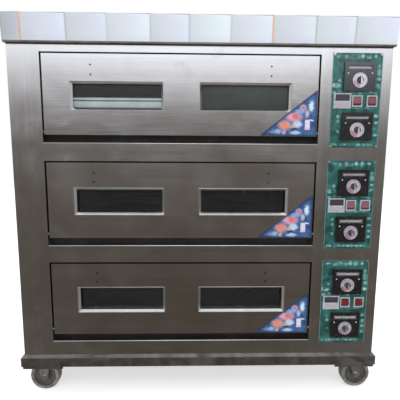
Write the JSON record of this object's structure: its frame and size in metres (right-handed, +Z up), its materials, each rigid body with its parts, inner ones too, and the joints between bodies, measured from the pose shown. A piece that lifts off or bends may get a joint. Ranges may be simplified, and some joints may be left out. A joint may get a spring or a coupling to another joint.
{
  "type": "deck oven",
  "caption": "Free-standing electric bakery deck oven with drop-down windowed doors, a control column at the right, a leaning crown and swivel casters.",
  "frame": {"origin": "on the floor, at the centre of the oven's bounding box seen from above", "axes": "+Z up, the doors face -Y, the control column is on the +X side"},
  "size_m": [1.238, 0.904, 1.266],
  "materials": {
    "stainless_body": "brushed",
    "stainless_door": "brushed",
    "stainless_cladding": "satin",
    "base_steel": "brushed",
    "aluminised_steel": "dull",
    "hearth_steel": "dull",
    "element_sheath": "dull",
    "wool": "matt",
    "door_glass": "clear",
    "panel_green": "gloss print",
    "case_black": "gloss",
    "timer_grey": "satin",
    "bezel_grey": "satin",
    "dial_silver": "spun",
    "rocker_red": "gloss",
    "screw_steel": "bright",
    "lamp_metal": "bright",
    "probe_steel": "bright",
    "hinge_steel": "dull",
    "contactor_plastic": "matt",
    "gland_plastic": "matt",
    "caster_steel": "zinc plated",
    "caster_wheel": "satin"
  },
  "bodies": {
    "oven_carcass": {"base_frame": "base_steel", "caster_plates": "caster_steel", "floor_pan": "stainless_body", "left_side_panel": "stainless_body", "right_side_panel": "stainless_body", "back_panel": "stainless_body", "top_panel": "stainless_body", "crown": "stainless_body", "crown_cladding": "stainless_cladding", "left_pillar": "stainless_body", "control_column": "stainless_body", "deck_rails": "stainless_body", "bay_partition": "aluminised_steel", "hearth_plates": "hearth_steel", "heating_elements": "element_sheath", "insulation": "wool", "chamber_lamps": "lamp_metal", "temperature_probes": "probe_steel", "steam_outlets": "stainless_body", "hinge_brackets": "hinge_steel", "contactors": "contactor_plastic", "cable_gland": "gland_plastic", "control_panels": "panel_green", "controller_cases": "case_black", "timers": "timer_grey", "switch_bezels": "bezel_grey", "panel_screws": "screw_steel", "lower_chamber": "aluminised_steel", "middle_chamber": "aluminised_steel", "upper_chamber": "aluminised_steel"},
    "lower_door": {"lower_door_skin": "stainless_door", "lower_door_inner_pan": "stainless_door", "lower_door_glass": "door_glass"},
    "middle_door": {"middle_door_skin": "stainless_door", "middle_door_inner_pan": "stainless_door", "middle_door_glass": "door_glass"},
    "upper_door": {"upper_door_skin": "stainless_door", "upper_door_inner_pan": "stainless_door", "upper_door_glass": "door_glass"},
    "lower_deck_upper_heat_dial": {"lower_deck_upper_heat_dial": "dial_silver"},
    "lower_deck_lower_heat_dial": {"lower_deck_lower_heat_dial": "dial_silver"},
    "lower_deck_lamp_rocker": {"lower_deck_lamp_rocker": "rocker_red"},
    "lower_deck_power_rocker": {"lower_deck_power_rocker": "rocker_red"},
    "middle_deck_upper_heat_dial": {"middle_deck_upper_heat_dial": "dial_silver"},
    "middle_deck_lower_heat_dial": {"middle_deck_lower_heat_dial": "dial_silver"},
    "middle_deck_lamp_rocker": {"middle_deck_lamp_rocker": "rocker_red"},
    "middle_deck_power_rocker": {"middle_deck_power_rocker": "rocker_red"},
    "upper_deck_upper_heat_dial": {"upper_deck_upper_heat_dial": "dial_silver"},
    "upper_deck_lower_heat_dial": {"upper_deck_lower_heat_dial": "dial_silver"},
    "upper_deck_lamp_rocker": {"upper_deck_lamp_rocker": "rocker_red"},
    "upper_deck_power_rocker": {"upper_deck_power_rocker": "rocker_red"},
    "front_left_caster_fork": {"front_left_caster_fork": "caster_steel"},
    "front_left_caster_wheel": {"front_left_caster_wheel": "caster_wheel"},
    "front_right_caster_fork": {"front_right_caster_fork": "caster_steel"},
    "front_right_caster_wheel": {"front_right_caster_wheel": "caster_wheel"},
    "rear_left_caster_fork": {"rear_left_caster_fork": "caster_steel"},
    "rear_left_caster_wheel": {"rear_left_caster_wheel": "caster_wheel"},
    "rear_right_caster_fork": {"rear_right_caster_fork": "caster_steel"},
    "rear_right_caster_wheel": {"rear_right_caster_wheel": "caster_wheel"}
  },
  "joints": [
    {"name": "lower_door_hinge", "type": "hinge", "parent": "oven_carcass", "child": "lower_door", "pos_m": [-0.06385, -0.40805, 0.231], "axis": [1, 0, 0], "range_deg": [0, 90], "stiffness_Nm_per_rad": 1.6, "springref_deg": -34.38},
    {"name": "middle_door_hinge", "type": "hinge", "parent": "oven_carcass", "child": "middle_door", "pos_m": [-0.06385, -0.40805, 0.571], "axis": [1, 0, 0], "range_deg": [0, 90], "stiffness_Nm_per_rad": 1.6, "springref_deg": -34.38},
    {"name": "upper_door_hinge", "type": "hinge", "parent": "oven_carcass", "child": "upper_door", "pos_m": [-0.06385, -0.40805, 0.911], "axis": [1, 0, 0], "range_deg": [0, 90], "stiffness_Nm_per_rad": 1.6, "springref_deg": -34.38},
    {"name": "lower_deck_upper_heat_dial_turn", "type": "hinge", "parent": "oven_carcass", "child": "lower_deck_upper_heat_dial", "pos_m": [0.5045, -0.43755, 0.398], "axis": [0, 1, 0], "range_deg": [0, 300]},
    {"name": "lower_deck_lower_heat_dial_turn", "type": "hinge", "parent": "oven_carcass", "child": "lower_deck_lower_heat_dial", "pos_m": [0.5045, -0.43755, 0.242], "axis": [0, 1, 0], "range_deg": [0, 300]},
    {"name": "lower_deck_lamp_rocker_tip", "type": "hinge", "parent": "oven_carcass", "child": "lower_deck_lamp_rocker", "pos_m": [0.5025, -0.42505, 0.334], "axis": [1, 0, 0], "range_deg": [0, 24]},
    {"name": "lower_deck_power_rocker_tip", "type": "hinge", "parent": "oven_carcass", "child": "lower_deck_power_rocker", "pos_m": [0.5505, -0.42505, 0.334], "axis": [1, 0, 0], "range_deg": [0, 24]},
    {"name": "middle_deck_upper_heat_dial_turn", "type": "hinge", "parent": "oven_carcass", "child": "middle_deck_upper_heat_dial", "pos_m": [0.5045, -0.43755, 0.738], "axis": [0, 1, 0], "range_deg": [0, 300]},
    {"name": "middle_deck_lower_heat_dial_turn", "type": "hinge", "parent": "oven_carcass", "child": "middle_deck_lower_heat_dial", "pos_m": [0.5045, -0.43755, 0.582], "axis": [0, 1, 0], "range_deg": [0, 300]},
    {"name": "middle_deck_lamp_rocker_tip", "type": "hinge", "parent": "oven_carcass", "child": "middle_deck_lamp_rocker", "pos_m": [0.5025, -0.42505, 0.674], "axis": [1, 0, 0], "range_deg": [0, 24]},
    {"name": "middle_deck_power_rocker_tip", "type": "hinge", "parent": "oven_carcass", "child": "middle_deck_power_rocker", "pos_m": [0.5505, -0.42505, 0.674], "axis": [1, 0, 0], "range_deg": [0, 24]},
    {"name": "upper_deck_upper_heat_dial_turn", "type": "hinge", "parent": "oven_carcass", "child": "upper_deck_upper_heat_dial", "pos_m": [0.5045, -0.43755, 1.078], "axis": [0, 1, 0], "range_deg": [0, 300]},
    {"name": "upper_deck_lower_heat_dial_turn", "type": "hinge", "parent": "oven_carcass", "child": "upper_deck_lower_heat_dial", "pos_m": [0.5045, -0.43755, 0.922], "axis": [0, 1, 0], "range_deg": [0, 300]},
    {"name": "upper_deck_lamp_rocker_tip", "type": "hinge", "parent": "oven_carcass", "child": "upper_deck_lamp_rocker", "pos_m": [0.5025, -0.42505, 1.014], "axis": [1, 0, 0], "range_deg": [0, 24]},
    {"name": "upper_deck_power_rocker_tip", "type": "hinge", "parent": "oven_carcass", "child": "upper_deck_power_rocker", "pos_m": [0.5505, -0.42505, 1.014], "axis": [1, 0, 0], "range_deg": [0, 24]},
    {"name": "front_left_caster_swivel", "type": "hinge", "parent": "oven_carcass", "child": "front_left_caster_fork", "pos_m": [-0.561, -0.39055, 0.112], "axis": [0, 0, 1], "continuous": true},
    {"name": "front_left_wheel_roll", "type": "hinge", "parent": "front_left_caster_fork", "child": "front_left_caster_wheel", "pos_m": [-0.554, -0.39055, 0.051], "axis": [0, 1, 0], "continuous": true},
    {"name": "front_right_caster_swivel", "type": "hinge", "parent": "oven_carcass", "child": "front_right_caster_fork", "pos_m": [0.561, -0.39055, 0.112], "axis": [0, 0, 1], "continuous": true},
    {"name": "front_right_wheel_roll", "type": "hinge", "parent": "front_right_caster_fork", "child": "front_right_caster_wheel", "pos_m": [0.568, -0.39055, 0.051], "axis": [0, 1, 0], "continuous": true},
    {"name": "rear_left_caster_swivel", "type": "hinge", "parent": "oven_carcass", "child": "rear_left_caster_fork", "pos_m": [-0.561, 0.37445, 0.112], "axis": [0, 0, 1], "continuous": true},
    {"name": "rear_left_wheel_roll", "type": "hinge", "parent": "rear_left_caster_fork", "child": "rear_left_caster_wheel", "pos_m": [-0.554, 0.37445, 0.051], "axis": [0, 1, 0], "continuous": true},
    {"name": "rear_right_caster_swivel", "type": "hinge", "parent": "oven_carcass", "child": "rear_right_caster_fork", "pos_m": [0.561, 0.37445, 0.112], "axis": [0, 0, 1], "continuous": true},
    {"name": "rear_right_wheel_roll", "type": "hinge", "parent": "rear_right_caster_fork", "child": "rear_right_caster_wheel", "pos_m": [0.568, 0.37445, 0.051], "axis": [0, 1, 0], "continuous": true}
  ]
}
